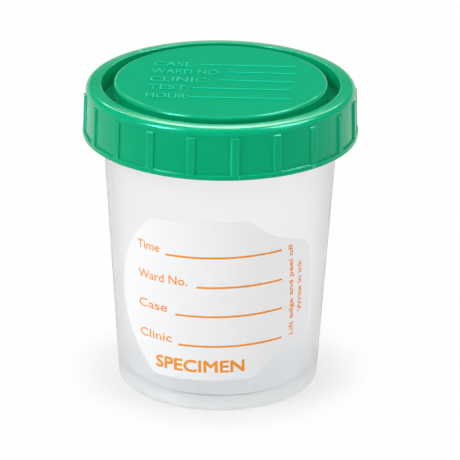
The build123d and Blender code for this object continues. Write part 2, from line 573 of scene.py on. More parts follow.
@dataclass(frozen=True)
class Paper:
    """Satin label paper with a fine fibre.

    Attributes:
        name: Name of the material.
        colour: Linear base colour.
        fibre: Linear colour of the fibres.
        roughness: Roughness.
        grain: Height of the fibre, in mm.
    """

    name: str
    colour: tuple[float, float, float]
    fibre: tuple[float, float, float]
    roughness: float
    grain: float

    def material(self) -> bpy.types.Material:
        """Builds the node material.

        Returns:
            The material.
        """
        made, nodes, links, shader = new_material(self.name)
        shader.inputs["Roughness"].default_value = self.roughness
        shader.inputs["Specular IOR Level"].default_value = 0.35
        place = nodes.new("ShaderNodeTexCoord")
        stretch = nodes.new("ShaderNodeMapping")
        stretch.inputs["Scale"].default_value = (1.0, 1.0, 0.3)
        links.new(place.outputs["Object"], stretch.inputs["Vector"])
        fibres = noise_node(nodes, 1800.0, 4.0, 0.6)
        links.new(stretch.outputs["Vector"], fibres.inputs["Vector"])
        tint = mix_node(nodes, self.fibre, self.colour)
        spread = ramp_node(nodes, 0.35, 0.6)
        links.new(fibres.outputs["Fac"], spread.inputs["Fac"])
        links.new(spread.outputs["Color"], tint.inputs[0])
        links.new(tint.outputs[2], shader.inputs["Base Color"])
        bump_node(nodes, links, fibres.outputs["Fac"], shader, self.grain)
        return made


@dataclass(frozen=True)
class Ink:
    """Printed ink that sits unevenly on the paper.

    Attributes:
        name: Name of the material.
        colour: Linear base colour.
        thin: Linear colour where the ink is thin.
        roughness: Roughness.
    """

    name: str
    colour: tuple[float, float, float]
    thin: tuple[float, float, float]
    roughness: float

    def material(self) -> bpy.types.Material:
        """Builds the node material.

        Returns:
            The material.
        """
        made, nodes, links, shader = new_material(self.name)
        shader.inputs["Roughness"].default_value = self.roughness
        shader.inputs["Specular IOR Level"].default_value = 0.3
        place = nodes.new("ShaderNodeTexCoord")
        spots = noise_node(nodes, 2600.0, 3.0, 0.65)
        links.new(place.outputs["Object"], spots.inputs["Vector"])
        spread = ramp_node(nodes, 0.35, 0.55)
        links.new(spots.outputs["Fac"], spread.inputs["Fac"])
        tint = mix_node(nodes, self.thin, self.colour)
        links.new(spread.outputs["Color"], tint.inputs[0])
        links.new(tint.outputs[2], shader.inputs["Base Color"])
        bump_node(nodes, links, spots.outputs["Fac"], shader, 0.002)
        return made


Built = tuple[bpy.types.Material, bpy.types.Nodes, bpy.types.NodeLinks, bpy.types.Node]


def new_material(name: str) -> Built:
    """Starts a node material with one principled shader.

    Args:
        name: Name of the material.

    Returns:
        The material, its nodes, its links and its shader.
    """
    made = bpy.data.materials.new(name)
    made.use_nodes = True
    tree = made.node_tree
    return made, tree.nodes, tree.links, tree.nodes["Principled BSDF"]


def noise_node(nodes: bpy.types.Nodes, scale: float, detail: float, rough: float) -> bpy.types.Node:
    """Adds a noise texture.

    Args:
        nodes: Nodes of the material.
        scale: Features per metre.
        detail: Number of finer layers.
        rough: Strength of the finer layers.

    Returns:
        The node.
    """
    noise = nodes.new("ShaderNodeTexNoise")
    noise.inputs["Scale"].default_value = scale
    noise.inputs["Detail"].default_value = detail
    noise.inputs["Roughness"].default_value = rough
    return noise


def mix_node(
    nodes: bpy.types.Nodes,
    first: tuple[float, float, float],
    second: tuple[float, float, float],
) -> bpy.types.Node:
    """Adds a mix of two colours.

    Args:
        nodes: Nodes of the material.
        first: Linear colour at factor 0.
        second: Linear colour at factor 1.

    Returns:
        The node.
    """
    mix = nodes.new("ShaderNodeMix")
    mix.data_type = "RGBA"
    mix.inputs[6].default_value = (*first, 1.0)
    mix.inputs[7].default_value = (*second, 1.0)
    return mix


def ramp_node(nodes: bpy.types.Nodes, low: float, high: float) -> bpy.types.Node:
    """Adds a ramp from black to white.

    Args:
        nodes: Nodes of the material.
        low: Position of black.
        high: Position of white.

    Returns:
        The node.
    """
    ramp = nodes.new("ShaderNodeValToRGB")
    ramp.color_ramp.elements[0].position = low
    ramp.color_ramp.elements[1].position = high
    return ramp


def bump_node(
    nodes: bpy.types.Nodes,
    links: bpy.types.NodeLinks,
    height: bpy.types.NodeSocket,
    shader: bpy.types.Node,
    depth: float,
) -> None:
    """Adds a bump of a real depth to a shader.

    Args:
        nodes: Nodes of the material.
        links: Links of the material.
        height: Socket that gives the height, from 0 to 1.
        shader: Shader that takes the bump.
        depth: Depth of the bump, in mm.

    Returns:
        None.
    """
    bump = nodes.new("ShaderNodeBump")
    bump.inputs["Strength"].default_value = 1.0
    bump.inputs["Distance"].default_value = depth * MM
    links.new(height, bump.inputs["Height"])
    links.new(bump.outputs["Normal"], shader.inputs["Normal"])


LID_GLOSS = MouldedPlastic(
    name="lid_gloss_green",
    colour=(0.0, 0.375, 0.162),
    deep=(0.0, 0.355, 0.152),
    # Painted highlight: the lighter edge colour on the outward edges.
    edge=(0.01, 0.54, 0.30),
    roughness=0.16,
    specular=0.27,
    grain=0.003,
    grain_scale=700.0,
)
LID_SATIN = MouldedPlastic(
    name="lid_satin_green",
    colour=(0.0, 0.345, 0.162),
    deep=(0.0, 0.33, 0.155),
    edge=(0.0, 0.345, 0.162),
    roughness=0.45,
    specular=0.01,
    grain=0.006,
    grain_scale=1500.0,
)
# The raised captions are the lid's own plastic, painted lighter than the disc as a highlight where they
# catch the light from above.
LID_RAISED_PAINTED_LIGHT = MouldedPlastic(
    name="lid_raised_green_painted_light",
    colour=(0.0, 0.50, 0.29),
    deep=(0.0, 0.48, 0.275),
    # Painted highlight: the lighter edge colour on the outward edges.
    edge=(0.0, 0.53, 0.315),
    roughness=0.35,
    specular=0.08,
    grain=0.002,
    grain_scale=900.0,
)
CUP_FROST = FrostedPlastic(
    name="cup_frosted",
    colour=(0.985, 0.983, 0.987),
    cloud=(0.99, 0.988, 0.992),
    # Painted shade: a bluish cast on the cup's floor.
    floor_shade_tint=(0.95, 0.985, 1.0),
    roughness=0.3,
    transmission=0.93,
    ior=1.12,
    haze=22.0,
    grain=0.003,
)
LABEL_PAPER = Paper(
    name="label_paper",
    colour=(0.905, 0.902, 0.912),
    fibre=(0.895, 0.892, 0.902),
    roughness=0.5,
    grain=0.0012,
)
ORANGE_INK = Ink(
    name="label_ink",
    colour=(0.91, 0.295, 0.0),
    thin=(0.92, 0.31, 0.003),
    roughness=0.5,
)


@dataclass
class Lid:
    """Screw lid: crown, ribbed skirt, moat, plug seal and inner thread, in one moulding.

    Attributes:
        gloss: Finish of the moulding.
        satin: Finish of the disc face.
        per_half_rib: Places of the columns from a rib's centre out, in mm.
        pieces: Objects made so far.
    """

    gloss: MouldedPlastic
    satin: MouldedPlastic
    per_half_rib: tuple[float, ...] = (
        0.68, 0.78, 0.85, 0.90, 0.94, 0.97, 1.02, 1.10, 1.2, 2.6, 3.9,
    )
    pieces: list[bpy.types.Object] = field(default_factory=list)

    def outline(self) -> list[Point]:
        """Gives the half section of the lid, from the top's middle to the underside's.

        Returns:
            Rows as (radius, height), in mm.
        """
        crown_edge = LID_TOP - CROWN_FALL
        band_top = SKIRT_FOOT + BAND_WIDTH
        band_radius = SKIRT_RADIUS + SKIRT_FLARE + BAND_RAISE
        witness = LID_TOP - RIB_DROP + 0.16
        plug_foot = MOAT_FLOOR - GROOVE_FLOOR
        hub_bore = DISC_RADIUS - HUB_WALL
        hub_roof = DISC_TOP - DISC_THICKNESS
        lip = MOAT_RADIUS + GROOVE_DRAFT
        return rounded([
            Corner(0, DISC_FACE),
            Corner(DISC_RADIUS - 5.0, DISC_FACE, 0, 2.5),
            Corner(DISC_RADIUS, DISC_FACE, 0.8),
            Corner(DISC_RADIUS, MOAT_FLOOR, 0.6),
            Corner(MOAT_RADIUS, MOAT_FLOOR, 0.6),
            Corner(lip, LID_TOP, 0.35),
            Corner(lip + DOME_WIDTH, LID_TOP - DOME_FALL, 8.0),
            Corner(SKIRT_RADIUS + 0.03, crown_edge, CROWN_ROUND - 0.08),
            Corner(skirt_at(witness), witness, 0.05),
            Corner(skirt_at(witness) - PANEL_DROP, witness - 0.05, 0.03, 0.07),
            Corner(skirt_at(witness - 0.7) - PANEL_DROP, witness - 0.7),
            Corner(skirt_at(band_top) - PANEL_DROP, band_top, 0.12),
            Corner(skirt_at(band_top) + BAND_RAISE, band_top, 0.18),
            Corner(band_radius, SKIRT_FOOT, 0.2),
            Corner(SKIRT_BORE + SKIRT_INNER_FLARE, SKIRT_FOOT, 0.2),
            Corner(SKIRT_BORE, CUP_HEIGHT, 0.3),
            Corner(PLUG_RADIUS, CUP_HEIGHT, 0.2),
            Corner(PLUG_RADIUS, plug_foot + PLUG_LEAD, 0.3),
            Corner(PLUG_RADIUS - PLUG_LEAD, plug_foot, 0.1),
            Corner(hub_bore, plug_foot, 0.2),
            Corner(hub_bore, hub_roof, 0.5),
            Corner(hub_bore - 3.0, hub_roof, 0, 6.0),
            Corner(0, hub_roof),
        ])

    def columns(self) -> np.ndarray:
        """Gives the angles of the columns, closest at the ribs' sides.

        Returns:
            Angles, in radians.
        """
        offsets = sorted([0.0, *self.per_half_rib, *(-step for step in self.per_half_rib)])
        pitch = 360 / RIB_COUNT
        middle = SKIRT_RADIUS + SKIRT_FLARE / 2
        angles: list[float] = []
        for index in range(RIB_COUNT):
            centre = math.radians((index + 0.5) * pitch + LID_TURN - 90)
            angles.extend(centre + offset / middle for offset in offsets)
        return np.array(angles)

    def rib_relief(self, radius: float, height: float, angles: np.ndarray) -> np.ndarray:
        """Raises the finger ribs on the skirt's panels.

        Args:
            radius: Radius of the row, in mm.
            height: Height of the row, in mm.
            angles: Angles of the columns, in radians.

        Returns:
            The raise at each column, in mm.
        """
        top = LID_TOP - RIB_DROP
        outside = radius > skirt_at(height) - 2 * PANEL_DROP
        if not outside or height > top or height < SKIRT_FOOT + BAND_WIDTH / 2:
            return np.zeros(len(angles))
        pitch = math.radians(360 / RIB_COUNT)
        start = math.radians(0.5 * 360 / RIB_COUNT + LID_TURN - 90)
        across = np.abs((angles - start + pitch / 2) % pitch - pitch / 2) * radius
        half = RIB_WIDTH / 2
        shoulder = np.clip((across - (half - RIB_SHOULDER)) / RIB_SHOULDER, 0, 1)
        rise = np.where(across <= half, np.sqrt(1 - 0.75 * shoulder**2), 0.0)
        root = np.clip((half + RIB_FILLET - across) / RIB_FILLET, 0, 1)
        rise = np.where(across > half, RIB_FILLET_RAISE * root**2, rise)
        near_top = np.clip((top - height) / RIB_TOP_ROUND, 0, 1)
        rise = rise * math.sqrt(max(0.0, 1 - (1 - near_top) ** 2))
        face = skirt_at(height) + RIB_RAISE * rise
        return np.maximum(0.0, face - radius) * (rise > 0)

    def inner_thread(self) -> MeshData:
        """Makes the ridge inside the skirt that engages the cup's thread.

        Returns:
            Vertices in mm and faces.
        """
        return helical_ridge(
            start=THREAD_START - THREAD_PITCH / 2,
            sweep=395.0,
            root=SKIRT_BORE + 0.35,
            crest=NECK_RADIUS + 0.25,
            root_width=1.5,
            crest_width=0.6,
        )

    def mesh(self) -> None:
        """Builds the lid's object, with its inner thread."""
        rows = self.outline()
        angles = self.columns()
        vertices, faces = turned_mesh(rows, angles, self.rib_relief)
        ridge, ridge_faces = self.inner_thread()
        shift = len(vertices)
        faces.extend(tuple(number + shift for number in face) for face in ridge_faces)
        lid = new_piece("lid_moulding", np.vstack([vertices, ridge]), faces)
        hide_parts("lid")
        self.pieces.append(lid)

    def dress(self) -> None:
        """Gives the pieces their finishes and body."""
        lid = self.pieces[0]
        lid.data.materials.append(self.gloss.material())
        lid.data.materials.append(self.satin.material())
        for polygon in lid.data.polygons:
            centre = polygon.center
            level = abs(centre.z - DISC_FACE * MM) < 0.02 * MM
            inside = math.hypot(centre.x, centre.y) < (DISC_RADIUS - 0.7) * MM
            polygon.material_index = 1 if level and inside else 0
        for piece in self.pieces:
            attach(piece, Body.LID.value)


def helical_ridge(
    start: float,
    sweep: float,
    root: float,
    crest: float,
    root_width: float,
    crest_width: float,
) -> MeshData:
    """Makes a thread ridge that runs out smoothly at both ends.

    Args:
        start: Height of the ridge's middle at angle 0, in mm.
        sweep: Length of the ridge, in degrees.
        root: Radius of the ridge's foot, in mm.
        crest: Radius of the ridge's crest, in mm.
        root_width: Height of the foot, in mm.
        crest_width: Height of the crest, in mm.

    Returns:
        Vertices in mm and faces.
    """
    count = int(sweep / 2.5)
    vertices: list[tuple[float, float, float]] = []
    faces: list[tuple[int, ...]] = []
    for number in range(count + 1):
        degrees = sweep * number / count
        edge = min(1.0, min(degrees, sweep - degrees) / THREAD_RUNOUT)
        grow = math.sin(math.pi / 2 * edge)
        height = start + THREAD_PITCH * degrees / 360
        angle = math.radians(degrees)
        reach = root + (crest - root) * (0.35 + 0.65 * grow)
        soft = crest_width / 2 + RIDGE_SOFTENING
        bevel = reach + (root - crest) * RIDGE_SOFTENING
        section = (
            (root, -root_width / 2),
            (bevel, -soft),
            (reach, -crest_width / 2),
            (reach, crest_width / 2),
            (bevel, soft),
            (root, root_width / 2),
        )
        for radius, rise in section:
            vertices.append((radius * math.cos(angle), radius * math.sin(angle), height + rise))
    size = len(section)
    for number in range(count):
        for corner in range(size):
            following = (corner + 1) % size
            low = number * size
            high = low + size
            faces.append((low + corner, low + following, high + following, high + corner))
    faces.append(tuple(range(size)))
    faces.append(tuple(count * size + corner for corner in range(size)))
    return np.array(vertices, float), faces


@dataclass
class Cup:
    """Tapered cup: foot ring, floor, wall, shoulder and threaded neck, in one moulding.

    Attributes:
        finish: Finish of the cup.
        columns: Number of columns round the cup.
        pieces: Objects made so far.
    """

    finish: FrostedPlastic
    columns: int = 192
    pieces: list[bpy.types.Object] = field(default_factory=list)

    def outline(self) -> list[Point]:
        """Gives the half section of the cup, from the underside's middle to the floor's.

        Returns:
            Rows as (radius, height), in mm.
        """
        foot_bore = BASE_RADIUS - FOOT_WIDTH
        floor_height = FOOT_RECESS + FLOOR_THICKNESS
        floor_rim = wall_radius(floor_height) - CUP_WALL
        neck_foot = NECK_START + NECK_STEP
        return rounded([
            Corner(0, FOOT_RECESS),
            Corner(foot_bore - 6.0, FOOT_RECESS, 0, FLAT_ROW_STEP),
            Corner(foot_bore - 0.6, FOOT_RECESS, 2.2),
            Corner(foot_bore + 0.5, 0, 0.4),
            Corner(BASE_RADIUS, 0, 1.1),
            Corner(wall_radius(NECK_START), NECK_START, 0.8),
            Corner(NECK_RADIUS, neck_foot, 0.5),
            Corner(NECK_RADIUS, neck_foot + 0.7, 0, 0.14),
            Corner(NECK_RADIUS, CUP_HEIGHT - 0.6),
            Corner(NECK_RADIUS, CUP_HEIGHT, 0.4),
            Corner(NECK_BORE, CUP_HEIGHT, 0.4),
            Corner(NECK_BORE, neck_foot, 0.8),
            Corner(wall_radius(NECK_START) - CUP_WALL, NECK_START, 0.5),
            Corner(floor_rim, floor_height, 2.4),
            Corner(floor_rim - 6.0, floor_height, 0, FLAT_ROW_STEP),
            Corner(0, floor_height),
        ])

    def thread_relief(self, radius: float, height: float, angles: np.ndarray) -> np.ndarray:
        """Raises the helical thread on the neck.

        Args:
            radius: Radius of the row, in mm.
            height: Height of the row, in mm.
            angles: Angles of the columns, in radians, from 0 to a full turn.

        Returns:
            The raise at each column, in mm.
        """
        if radius < NECK_RADIUS - 0.01:
            return np.zeros(len(angles))
        raised = np.zeros(len(angles))
        for turn in (0, 1):
            degrees = np.degrees(angles) + 360 * turn
            sweep = 360 * THREAD_TURNS
            middle = THREAD_START + THREAD_PITCH * degrees / 360
            away = np.abs(height - middle)
            half_crest = THREAD_CREST_WIDTH / 2
            half_root = THREAD_ROOT_WIDTH / 2
            flank = np.clip((half_root - away) / (half_root - half_crest), 0, 1)
            outside = np.maximum(-degrees, degrees - sweep)
            fade = np.clip(1 - outside / THREAD_RUNOUT, 0, 1)
            raised = np.maximum(raised, THREAD_DEPTH * flank * flank * (3 - 2 * flank) * fade)
        before = np.degrees(angles) - 360
        middle = THREAD_START + THREAD_PITCH * before / 360
        flank = np.clip((THREAD_ROOT_WIDTH / 2 - np.abs(height - middle)) / 0.6, 0, 1)
        fade = np.clip(1 + before / THREAD_RUNOUT, 0, 1)
        return np.maximum(raised, THREAD_DEPTH * flank * flank * (3 - 2 * flank) * fade)

    def mesh(self) -> None:
        """Builds the cup's object."""
        angles = np.arange(self.columns) * 2 * math.pi / self.columns
        vertices, faces = turned_mesh(self.outline(), angles, self.thread_relief)
        cup = new_piece("cup_moulding", vertices, faces)
        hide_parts("cup")
        self.pieces.append(cup)

    def dress(self) -> None:
        """Gives the cup its finish and body."""
        made = self.finish.material()
        for piece in self.pieces:
            piece.data.materials.append(made)
            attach(piece, Body.CUP.value)


@dataclass(frozen=True)
class Rule:
    """Printed line to write on.

    Attributes:
        left: Angle of its left end from the front, in degrees.
        right: Angle of its right end, in degrees.
        height: Height of its middle on the cup's front, in mm.
    """

    left: float
    right: float
    height: float


@dataclass(frozen=True)
class Print:
    """Printed words.

    Attributes:
        name: Name of the piece.
        words: What they say.
        left: Angle of the left or lower end from the front, in degrees.
        width: Length of the line of words, in mm, or 0 for the font's own.
        height: Height of the baseline's start on the cup, in mm.
        cap: Height of a capital, in mm.
        reading: Way that the words run.
        weight: Extra thickness of the strokes, as a share of the capital's height.
    """

    name: str
    words: str
    left: float
    width: float
    height: float
    cap: float
    reading: Reading = Reading.ACROSS
    weight: float = 0.0


RULES = (
    Rule(left=-28.2, right=33.4, height=40.65),
    Rule(left=-11.5, right=34.5, height=32.92),
    Rule(left=-23.3, right=35.5, height=25.28),
    Rule(left=-22.0, right=36.4, height=17.43),
)
PRINTS = (
    Print("print_row_1", "Time", -45.7, 6.5, 40.9, 2.1, weight=0.014),
    Print("print_row_2", "Ward No.", -46.1, 13.5, 33.2, 2.1, weight=0.014),
    Print("print_row_3", "Case", -46.6, 8.3, 25.57, 2.1, weight=0.014),
    Print("print_row_4", "Clinic", -46.7, 9.2, 17.76, 2.1, weight=0.014),
    Print("print_heading", "SPECIMEN", -36.0, 21.8, 10.6, 3.0, weight=0.035),
    Print("print_edge_1", "Lift edge and peel off", 44.4, 24.2, 17.9, 1.3, Reading.UP, 0.03),
    Print("print_edge_2", "Write in ink", 49.7, 13.6, 23.4, 1.3, Reading.UP, 0.03),
)


def letters(words: str, cap: float, depth: float, bevel: float) -> bmesh.types.BMesh:
    """Draws words in the built-in font, lying flat with the baseline on the X axis.

    Args:
        words: What they say.
        cap: Height of a capital, in mm.
        depth: Full thickness of the letters, in mm, or 0 for flat ones.
        bevel: Width of the letters' bevel, in mm.

    Returns:
        The mesh, in mm.
    """
    work = bmesh.new()
    for body in ("H", words):
        curve = bpy.data.curves.new("letters", type="FONT")
        curve.body = body
        curve.size = 1.0
        curve.resolution_u = 4
        if depth > 0 and body == words:
            unit = 0.7 / cap
            curve.extrude = (depth / 2 - bevel) * unit
            curve.bevel_depth = bevel * unit
            curve.offset = -bevel * unit
            curve.bevel_resolution = 1
        holder = bpy.data.objects.new("letters", curve)
        bpy.context.scene.collection.objects.link(holder)
        bpy.context.view_layer.update()
        shaped = holder.evaluated_get(bpy.context.evaluated_depsgraph_get())
        mesh = bpy.data.meshes.new_from_object(shaped)
        if body == "H":
            tall = max(vertex.co.y for vertex in mesh.vertices)
        else:
            work.from_mesh(mesh)
        bpy.data.meshes.remove(mesh)
        bpy.data.objects.remove(holder)
        bpy.data.curves.remove(curve)
    for vertex in work.verts:
        vertex.co *= cap / tall
    bmesh.ops.remove_doubles(work, verts=work.verts, dist=0.0005 * cap)
    return work


@dataclass
class Label:
    """Die-cut paper label on the cup's wall, with its print.

    Attributes:
        paper: Finish of the paper.
        ink: Finish of the print.
        rule_width: Thickness of the printed lines, in mm.
        strip: Width of the strips that bend round the wall, in mm.
        ink_depth: Thickness of the print, in mm.
        pieces: Objects made so far.
    """

    paper: Paper
    ink: Ink
    rule_width: float = 0.48
    strip: float = 0.9
    ink_depth: float = 0.012
    pieces: list[bpy.types.Object] = field(default_factory=list)

    def outline(self) -> list[Point]:
        """Gives the outline of the flat label: writing end, two shoulders and a peel tab.

        Returns:
            Points as (across, up) from the label's middle, in mm.
        """
        top = PANEL_HALF_HEIGHT
        tab_top = TAB_HALF_HEIGHT
        tab_neck = TAB_RIGHT - TAB_BULGE - TAB_CORNER
        dip = ((PANEL_RIGHT + tab_neck) / 2, (top + tab_top) / 2 - SHOULDER_DIP)
        corner = TAB_CORNER * (1 - math.sqrt(0.5))
        left_end = [
            (-PANEL_LEFT, top),
            (-PANEL_LEFT - 0.75 * PANEL_BULGE, top / 2),
            (-PANEL_LEFT - PANEL_BULGE, 0),
            (-PANEL_LEFT - 0.75 * PANEL_BULGE, -top / 2),
            (-PANEL_LEFT, -top),
        ]
        lower = [(PANEL_RIGHT, -top), (dip[0], -dip[1]), (tab_neck, -tab_top)]
        tab = [
            (tab_neck, -tab_top),
            (tab_neck + TAB_CORNER - corner, corner - tab_top),
            (TAB_RIGHT, 0),
            (tab_neck + TAB_CORNER - corner, tab_top - corner),
            (tab_neck, tab_top),
        ]
        upper = [(tab_neck, tab_top), dip, (PANEL_RIGHT, top)]
        points: list[Point] = []
        for run in (left_end, lower, tab, upper):
            points.extend(spline_through(run, 12))
        return [point for index, point in enumerate(points) if point != points[index - 1]]

    def flat_polygon(self, points: Sequence[Point]) -> bmesh.types.BMesh:
        """Makes a flat face in the label's plane.

        Args:
            points: Its outline as (across, up), in mm.

        Returns:
            The mesh, in mm.
        """
        work = bmesh.new()
        work.faces.new([work.verts.new((across, up, 0)) for across, up in points])
        return work

    def bend(self, work: bmesh.types.BMesh, low: float, depth: float) -> None:
        """Cuts a flat mesh into strips, thickens it and bends it round the wall.

        Args:
            work: The mesh in the label's plane, in mm.
            low: Distance of its underside from the wall, in mm.
            depth: Its thickness, in mm.

        Returns:
            None.
        """
        reach = max(abs(vertex.co.x) for vertex in work.verts)
        cuts = int(reach / self.strip) + 1
        for number in range(-cuts, cuts + 1):
            bmesh.ops.bisect_plane(
                work,
                geom=[*work.verts, *work.edges, *work.faces],
                plane_co=(number * self.strip, 0, 0),
                plane_no=(1, 0, 0),
            )
        grown = bmesh.ops.extrude_face_region(work, geom=list(work.faces))
        for item in grown["geom"]:
            if isinstance(item, bmesh.types.BMVert):
                item.co.z += depth
        tilt = math.radians(LABEL_TILT)
        for vertex in work.verts:
            across, up, out = vertex.co
            along = across * math.cos(tilt) - up * math.sin(tilt)
            height = LABEL_HEIGHT_ON_CUP + across * math.sin(tilt) + up * math.cos(tilt)
            radius = wall_radius(height)
            angle = along / radius
            reach = radius + low + out
            vertex.co = (reach * math.sin(angle), -reach * math.cos(angle), height)

    def flat_place(self, degrees: float, height: float) -> Point:
        """Gives the place on the flat label of a point of the cup's wall.

        Args:
            degrees: Angle from the front, in degrees.
            height: Height on the cup, in mm.

        Returns:
            The place as (across, up), in mm.
        """
        tilt = math.radians(LABEL_TILT)
        along = math.radians(degrees) * wall_radius(height)
        rise = height - LABEL_HEIGHT_ON_CUP
        return (
            along * math.cos(tilt) + rise * math.sin(tilt),
            rise * math.cos(tilt) - along * math.sin(tilt),
        )

    def rule_piece(self, number: int, rule: Rule) -> None:
        """Prints one line.

        Args:
            number: Number of the line from the top.
            rule: Where it runs.

        Returns:
            None.
        """
        tilt = math.radians(LABEL_TILT)
        half = self.rule_width / 2
        ends = []
        for degrees in (rule.left, rule.right):
            height = rule.height + math.radians(degrees) * wall_radius(rule.height) * math.sin(tilt)
            ends.append(self.flat_place(degrees, height))
        (left, low), (right, high) = ends
        work = self.flat_polygon([
            (left, low - half),
            (right, high - half),
            (right, high + half),
            (left, low + half),
        ])
        self.bend(work, GLUE_GAP + LABEL_THICKNESS, self.ink_depth)
        self.pieces.append(sheet_piece(f"print_rule_{number}", work, 40))

    def print_piece(self, line: Print) -> None:
        """Prints one line of words.

        Args:
            line: The words and their place.

        Returns:
            None.
        """
        work = letters(line.words, line.cap, 0, 0)
        left = min(vertex.co.x for vertex in work.verts)
        right = max(vertex.co.x for vertex in work.verts)
        stretch = line.width / (right - left) if line.width > 0 else 1.0
        turn = Matrix.Rotation(math.radians(line.reading.value), 2)
        tilt = math.radians(LABEL_TILT)
        height = line.height
        if line.reading is Reading.ACROSS:
            height += math.radians(line.left) * wall_radius(line.height) * math.sin(tilt)
        start = Vector(self.flat_place(line.left, height))
        for vertex in work.verts:
            flat = turn @ Vector(((vertex.co.x - left) * stretch, vertex.co.y)) + start
            vertex.co = (flat.x, flat.y, 0)
        self.strike(work, line.weight * line.cap)
        self.bend(work, GLUE_GAP + LABEL_THICKNESS, self.ink_depth)
        self.pieces.append(sheet_piece(line.name, work, 40))

    def strike(self, work: bmesh.types.BMesh, spread: float) -> None:
        """Prints the same letters four times, a little apart, so that they come out heavy.

        Args:
            work: The flat letters, in mm.
            spread: Distance of each copy from the letters' middle, in mm.

        Returns:
            None.
        """
        if spread <= 0:
            return
        first = [*work.verts, *work.edges, *work.faces]
        shifts = ((1, 1), (-1, -1), (1, -1))
        for number, (across, up) in enumerate(shifts, start=1):
            copy = bmesh.ops.duplicate(work, geom=first)
            for item in copy["geom"]:
                if isinstance(item, bmesh.types.BMVert):
                    item.co += Vector((across * spread, up * spread, -0.002 * number))

    def mesh(self) -> None:
        """Builds the label and everything printed on it."""
        work = self.flat_polygon(self.outline())
        self.bend(work, GLUE_GAP, LABEL_THICKNESS)
        label = sheet_piece("label_sheet", work, 40)
        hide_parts("label")
        self.pieces.append(label)
        for number, rule in enumerate(RULES, start=1):
            self.rule_piece(number, rule)
        for line in PRINTS:
            self.print_piece(line)

    def dress(self) -> None:
        """Gives the label and its print their finishes and body."""
        paper = self.paper.material()
        ink = self.ink.material()
        for piece in self.pieces:
            piece.data.materials.append(paper if piece.name == "label_sheet" else ink)
            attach(piece, Body.CUP.value)


@dataclass(frozen=True)
class Caption:
    """Raised caption on the lid's disc with the raised line beside it.

    Attributes:
        words: What it says.
        left: Middle of the caption's left end, in mm.
        line: Both ends of the raised line, in mm.
    """

    words: str
    left: Point
    line: tuple[Point, Point]


CAPTIONS = (
    Caption("CASE:", (-16.01, 10.87), ((-4.69, 10.44), (18.08, 9.58))),
    Caption("WARD NO:", (-16.4, 5.6), ((1.3, 5.3), (17.88, 4.55))),
    Caption("CLINIC:", (-16.77, 0.17), ((-0.17, -0.22), (17.2, -1.22))),
    Caption("TEST:", (-17.19, -5.33), ((-6.75, -5.9), (16.72, -6.76))),
    Caption("HOUR:", (-17.5, -11.09), ((-7.75, -12.08), (16.42, -12.77))),
)


@dataclass
class Captions:
    """Raised captions on the lid's disc.

    Attributes:
        finish: Finish of the raised plastic, painted lighter than the disc as a highlight.
        raise_height: How far they stand up, in mm.
        cap: Height of a capital, in mm.
        advance: Width of a letter with its space, in mm.
        turn: Turn of the captions about Z, in degrees.
        line_width: Width of the raised lines, in mm.
        bevel: Width of the sloped sides, in mm.
        sunk: How far the raised plastic reaches into the disc, in mm.
        pieces: Objects made so far.
    """

    finish: MouldedPlastic
    raise_height: float = CAPTION_RAISE
    cap: float = 2.9
    advance: float = 2.14
    turn: float = -3.0
    line_width: float = 0.42
    bevel: float = 0.07
    sunk: float = 0.01
    pieces: list[bpy.types.Object] = field(default_factory=list)

    def caption_piece(self, number: int, caption: Caption) -> None:
        """Makes one caption and its line.

        Args:
            number: Number of the caption from the back.
            caption: The caption and its place.

        Returns:
            None.
        """
        work = letters(caption.words, self.cap, self.raise_height, self.bevel)
        left = min(vertex.co.x for vertex in work.verts)
        right = max(vertex.co.x for vertex in work.verts)
        stretch = self.advance * (len(caption.words) - 0.35) / (right - left)
        spin = Matrix.Rotation(math.radians(self.turn), 2)
        for vertex in work.verts:
            flat = spin @ Vector(((vertex.co.x - left) * stretch, vertex.co.y - self.cap / 2))
            vertex.co = (
                flat.x + caption.left[0],
                flat.y + caption.left[1],
                vertex.co.z + DISC_FACE + self.raise_height / 2 - self.sunk,
            )
        self.add_bar(work, caption.line)
        self.pieces.append(sheet_piece(f"lid_caption_{number}", work, 30))

    def add_bar(self, work: bmesh.types.BMesh, line: tuple[Point, Point]) -> None:
        """Adds a raised line with sloped sides.

        Args:
            work: Mesh that takes it, in mm.
            line: Both ends of the line, in mm.

        Returns:
            None.
        """
        start, end = Vector(line[0]), Vector(line[1])
        along = (end - start).normalized()
        side = Vector((-along.y, along.x)) * self.line_width / 2
        levels = ((0.0, 1.0), (self.raise_height - self.bevel, 1.0), (self.raise_height, 0.6))
        rings = []
        for rise, share in levels:
            edge = side * share
            corners = (start - edge, end - edge, end + edge, start + edge)
            height = DISC_FACE - self.sunk + rise
            rings.append([work.verts.new((corner.x, corner.y, height)) for corner in corners])
        for low, high in zip(rings, rings[1:]):
            for index in range(4):
                following = (index + 1) % 4
                work.faces.new((low[index], low[following], high[following], high[index]))
        work.faces.new(rings[-1])
        work.faces.new(list(reversed(rings[0])))

    def mesh(self) -> None:
        """Builds the five captions."""
        for number, caption in enumerate(CAPTIONS, start=1):
            self.caption_piece(number, caption)

    def dress(self) -> None:
        """Gives the captions their finish and body."""
        made = self.finish.material()
        for piece in self.pieces:
            piece.data.materials.append(made)
            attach(piece, Body.LID.value)


@dataclass(frozen=True)
class Softbox:
    """Rectangular studio light.

    Attributes:
        name: Name of the light.
        place: Where it stands, in metres.
        width: Length of its level side, in metres.
        depth: Length of its other side, in metres.
        power: Power, in watts.
        shine: Whether it only makes reflections.
    """

    name: str
    place: tuple[float, float, float]
    width: float
    depth: float
    power: float
    shine: bool = False


